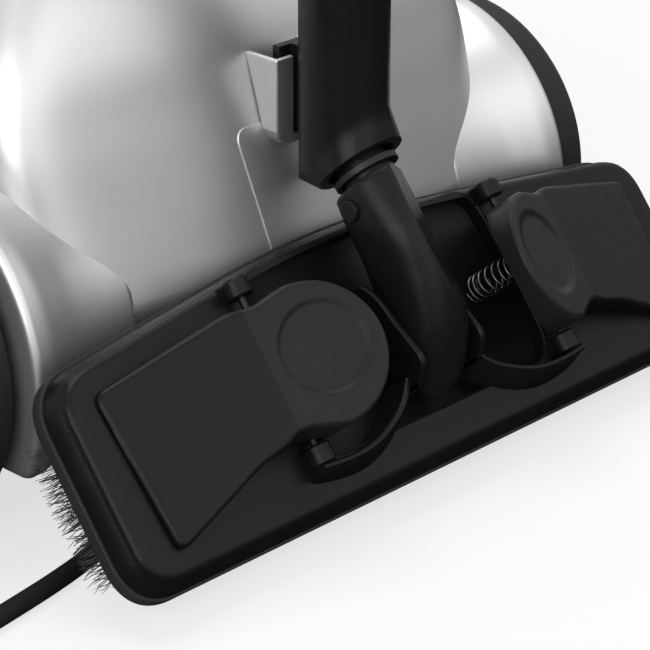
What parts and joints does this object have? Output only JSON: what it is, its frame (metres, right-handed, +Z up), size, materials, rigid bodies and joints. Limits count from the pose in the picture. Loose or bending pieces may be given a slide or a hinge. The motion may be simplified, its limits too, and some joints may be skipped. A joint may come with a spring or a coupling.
{
  "type": "steam_cleaner",
  "caption": "Canister steam cleaner with silver hood, large side wheels, a floor brush on a swivel neck parked upright on its tail, wand, boiler inside and mains cord with plug",
  "frame": {"origin": "On the floor, under the middle of the machine's box without its cord", "axes": "X across the machine from the left wheel to the right, Y from the parked brush to the hose socket, Z up"},
  "size_m": [0.5084, 0.4439, 0.57],
  "materials": {
    "black": "satin moulded black plastic",
    "silver": "silver metallic finish on moulded plastic",
    "charcoal": "fine-grained charcoal plastic",
    "rubber": "matte black rubber",
    "steel": "plain bright steel",
    "brass": "machined brass",
    "copper": "drawn copper pipe",
    "board": "coated circuit board",
    "hair": "black nylon bristle",
    "green": "clear green lens",
    "amber": "clear amber lens"
  },
  "bodies": {
    "machine": {"hood": "silver", "park_panel": "silver", "park_pocket": "silver", "base_tray": "charcoal", "left_fender": "silver", "right_fender": "silver", "axle": "steel", "top_deck": "charcoal", "carry_handle": "black", "filler_neck": "brass", "power_lamp": "green", "ready_lamp": "amber", "boiler_tank": "steel", "heater_band": "steel", "safety_valve": "brass", "steam_valve": "brass", "steam_pipe": "copper", "control_board": "board", "hose_socket": "black", "flap_pin": "steel", "cord_outlet": "charcoal", "cord_relief": "rubber", "cord_tube": "rubber", "cord_coil": "rubber", "plug": "rubber", "cord_tie": "rubber"},
    "wand": {"wand_cuff": "black", "wand_tube": "black", "wand_collar": "charcoal", "wand_hook": "black"},
    "latch": {"wand_latch": "black"},
    "neck": {"neck": "black", "swivel_ring": "steel"},
    "release": {"neck_button": "black"},
    "brush": {"brush_cover": "black", "brush_base": "charcoal", "bristles_front": "hair", "bristles_rear": "hair", "bristles_left": "hair", "bristles_right": "hair", "left_pedal_pin": "steel", "right_pedal_pin": "steel", "tilt_pin": "steel", "left_spring": "steel", "right_spring": "steel"},
    "left_pedal": {"left_pedal": "black"},
    "right_pedal": {"right_pedal": "black"},
    "left_wheel": {"left_wheel": "charcoal", "left_hubcap": "silver"},
    "right_wheel": {"right_wheel": "charcoal", "right_hubcap": "silver"},
    "caster": {"caster_fork": "black", "caster_pin": "steel"},
    "caster_roller": {"caster_wheel": "charcoal"},
    "cap_lift": {"cap_seal": "rubber"},
    "cap": {"filler_cap": "black"},
    "power_rocker": {"power_switch": "black"},
    "boiler_rocker": {"boiler_switch": "black"},
    "dial": {"steam_dial": "black"},
    "flap": {"socket_flap": "black"}
  },
  "joints": [
    {"name": "wand_lift", "type": "slide", "parent": "machine", "child": "wand", "axis": [0, 0, 1], "range_m": [0, 0.045]},
    {"name": "latch_press", "type": "slide", "parent": "wand", "child": "latch", "axis": [0, 1, 0], "range_m": [0, 0.002], "stiffness_N_per_m": 300, "springref_m": -0.002},
    {"name": "neck_swivel", "type": "hinge", "parent": "wand", "child": "neck", "pos_m": [0, -0.1737, 0.109], "axis": [0, 0.7071, 0.7071], "range_deg": [-1.2, 1.2]},
    {"name": "release_press", "type": "slide", "parent": "neck", "child": "release", "axis": [1, 0, 0], "range_m": [0, 0.0015], "stiffness_N_per_m": 300, "springref_m": -0.002},
    {"name": "brush_tilt", "type": "hinge", "parent": "neck", "child": "brush", "pos_m": [0, -0.19239, 0.06492], "axis": [1, 0, 0], "range_deg": [-2, 5]},
    {"name": "left_pedal_press", "type": "hinge", "parent": "brush", "child": "left_pedal", "pos_m": [-0.066, -0.19044, 0.06337], "axis": [0, 0.6225, 0.7826], "range_deg": [0, 12], "stiffness_Nm_per_rad": 0.4, "springref_deg": -6.88, "deforming": ["left_spring"]},
    {"name": "right_pedal_press", "type": "hinge", "parent": "brush", "child": "right_pedal", "pos_m": [0.066, -0.19044, 0.06337], "axis": [0, -0.6225, -0.7826], "range_deg": [0, 12], "stiffness_Nm_per_rad": 0.4, "springref_deg": -6.88, "deforming": ["right_spring"]},
    {"name": "left_wheel_spin", "type": "hinge", "parent": "machine", "child": "left_wheel", "pos_m": [-0.142, -0.081, 0.063], "axis": [1, 0, 0], "continuous": true},
    {"name": "right_wheel_spin", "type": "hinge", "parent": "machine", "child": "right_wheel", "pos_m": [0.142, -0.081, 0.063], "axis": [1, 0, 0], "continuous": true},
    {"name": "caster_swivel", "type": "hinge", "parent": "machine", "child": "caster", "pos_m": [0, 0.159, 0.03], "axis": [0, 0, 1], "continuous": true},
    {"name": "caster_roll", "type": "hinge", "parent": "caster", "child": "caster_roller", "pos_m": [0, 0.163, 0.0115], "axis": [1, 0, 0], "continuous": true},
    {"name": "cap_rise", "type": "slide", "parent": "machine", "child": "cap_lift", "axis": [0, 0, 1], "range_m": [0, 0.0045]},
    {"name": "cap_turn", "type": "hinge", "parent": "cap_lift", "child": "cap", "pos_m": [0, -0.044, 0.24], "axis": [0, 0, 1], "range_deg": [0, 540]},
    {"name": "power_rock", "type": "hinge", "parent": "machine", "child": "power_rocker", "pos_m": [-0.029, 0.09, 0.232], "axis": [1, 0, 0], "range_deg": [0, 14]},
    {"name": "boiler_rock", "type": "hinge", "parent": "machine", "child": "boiler_rocker", "pos_m": [0.029, 0.09, 0.232], "axis": [1, 0, 0], "range_deg": [0, 14]},
    {"name": "dial_turn", "type": "hinge", "parent": "machine", "child": "dial", "pos_m": [0, 0.104, 0.232], "axis": [0, 0, 1], "range_deg": [0, 270]},
    {"name": "flap_open", "type": "hinge", "parent": "machine", "child": "flap", "pos_m": [0, 0.2158, 0.1415], "axis": [1, 0, 0], "range_deg": [0, 95], "stiffness_Nm_per_rad": 0.006, "springref_deg": -28.65}
  ],
  "couplings": [
    {"joint": "cap_turn", "follows": "cap_rise", "rad_per_m": 2090}
  ]
}
